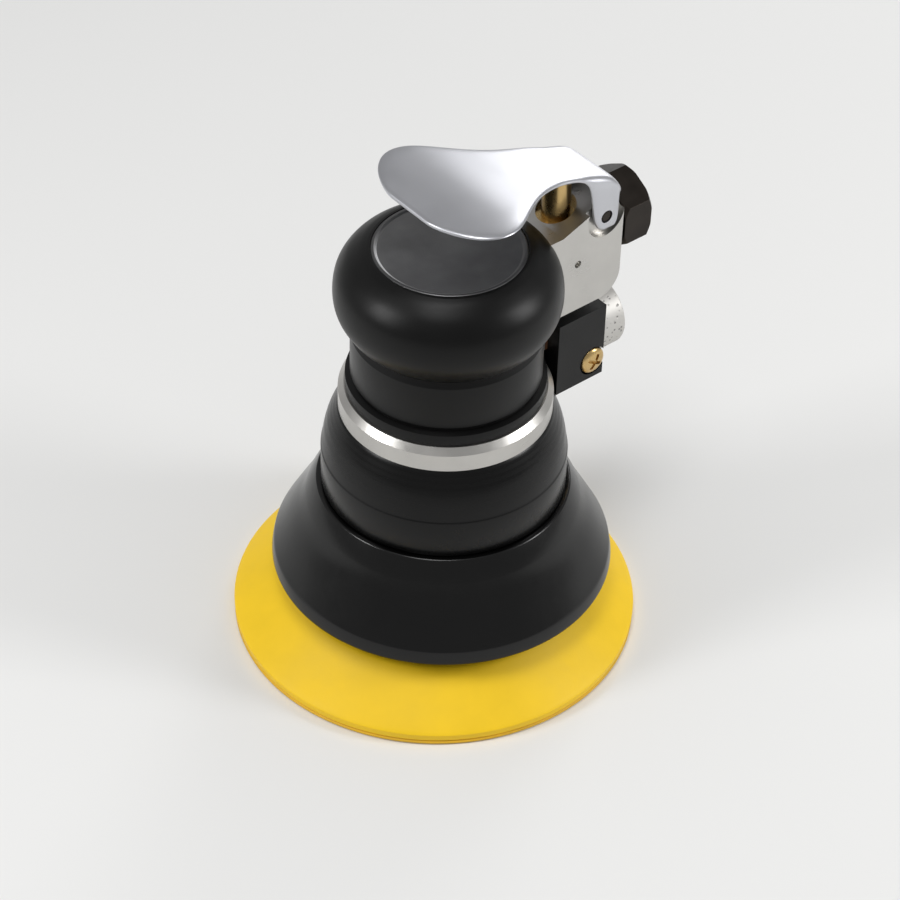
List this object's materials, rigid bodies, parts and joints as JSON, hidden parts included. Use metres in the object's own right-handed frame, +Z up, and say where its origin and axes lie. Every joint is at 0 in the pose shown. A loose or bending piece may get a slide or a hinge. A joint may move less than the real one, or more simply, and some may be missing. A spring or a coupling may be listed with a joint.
{
  "type": "air random-orbital palm sander",
  "caption": "Compressed-air palm sander: round foam pad on an eccentric vane-motor spindle, rubber shroud and grip, palm lever over a side inlet arm.",
  "frame": {"origin": "where the motor axis meets the sanding face", "axes": "+Z up the motor axis away from the work, +X along the inlet arm"},
  "size_m": [0.1334, 0.125, 0.158],
  "materials": {
    "machined_aluminium": "satin",
    "satin_steel": "brushed",
    "black_anodised": "satin",
    "black_rubber": "glossy moulded",
    "soft_grip": "matt moulded",
    "polished_steel": "polished",
    "dark_steel": "blackened",
    "zinc_steel": "zinc plated",
    "nitrile": "matt",
    "fibre": "matt",
    "hardened_steel": "ground",
    "cast_iron": "machined",
    "bearing_steel": "ground",
    "spring_steel": "bright",
    "brass": "polished",
    "black_plastic": "moulded",
    "sintered_metal": "sintered",
    "felt": "matt",
    "fibreglass": "matt",
    "yellow_foam": "matt moulded",
    "vinyl": "matt"
  },
  "bodies": {
    "housing": {"motor_housing": "machined_aluminium", "lower_housing": "black_anodised", "housing_screws": "zinc_steel", "housing_oring": "nitrile", "shroud": "black_rubber", "palm_grip": "soft_grip", "top_cap": "satin_steel", "cylinder_liner": "hardened_steel", "cylinder_dowels": "hardened_steel", "lower_endplate": "cast_iron", "lower_bearing": "bearing_steel", "upper_endplate": "cast_iron", "upper_bearing": "bearing_steel", "lock_ring": "zinc_steel", "wave_washer": "spring_steel", "throttle_sleeve": "brass", "throttle_spring": "spring_steel", "lever_pin": "dark_steel", "inlet_bushing": "dark_steel", "inlet_seal": "nitrile", "inlet_screen": "spring_steel", "exhaust_block": "black_plastic", "exhaust_gasket": "fibre", "exhaust_screw": "brass", "exhaust_muffler": "sintered_metal", "muffler_felt": "felt"},
    "motor_shaft": {"eccentric_shaft": "hardened_steel", "rotor": "hardened_steel", "rotor_vanes": "fibre", "rotor_key": "hardened_steel", "spindle_bearing_lower": "bearing_steel", "spindle_bearing_upper": "bearing_steel", "spindle_retaining_ring": "spring_steel"},
    "pad": {"pad_spindle": "hardened_steel", "spindle_washer": "zinc_steel", "spindle_screw": "zinc_steel", "pad_washer": "fibre", "pad_plate": "fibreglass", "pad_stud": "zinc_steel", "pad_rivets": "zinc_steel", "pad_foam": "yellow_foam", "pad_face": "vinyl"},
    "lever": {"throttle_lever": "polished_steel"},
    "plunger": {"throttle_plunger": "brass", "plunger_oring": "nitrile"}
  },
  "joints": [
    {"name": "motor_spin", "type": "hinge", "parent": "housing", "child": "motor_shaft", "pos_m": [0, 0, 0.09], "axis": [0, 0, 1], "continuous": true},
    {"name": "pad_spin", "type": "hinge", "parent": "motor_shaft", "child": "pad", "pos_m": [-0.0025, 0, 0.035], "axis": [0, 0, 1], "continuous": true},
    {"name": "lever_pivot", "type": "hinge", "parent": "housing", "child": "lever", "pos_m": [0.04995, 0, 0.1322], "axis": [0, -1, 0], "range_deg": [0, 10], "stiffness_Nm_per_rad": 0.4, "springref_deg": -28.65},
    {"name": "plunger_slide", "type": "slide", "parent": "housing", "child": "plunger", "axis": [0, 0, -1], "range_m": [0, 0.0023], "deforming": ["throttle_spring"]}
  ],
  "couplings": [
    {"joint": "plunger_slide", "follows": "lever_pivot", "m_per_rad": 0.0128}
  ]
}
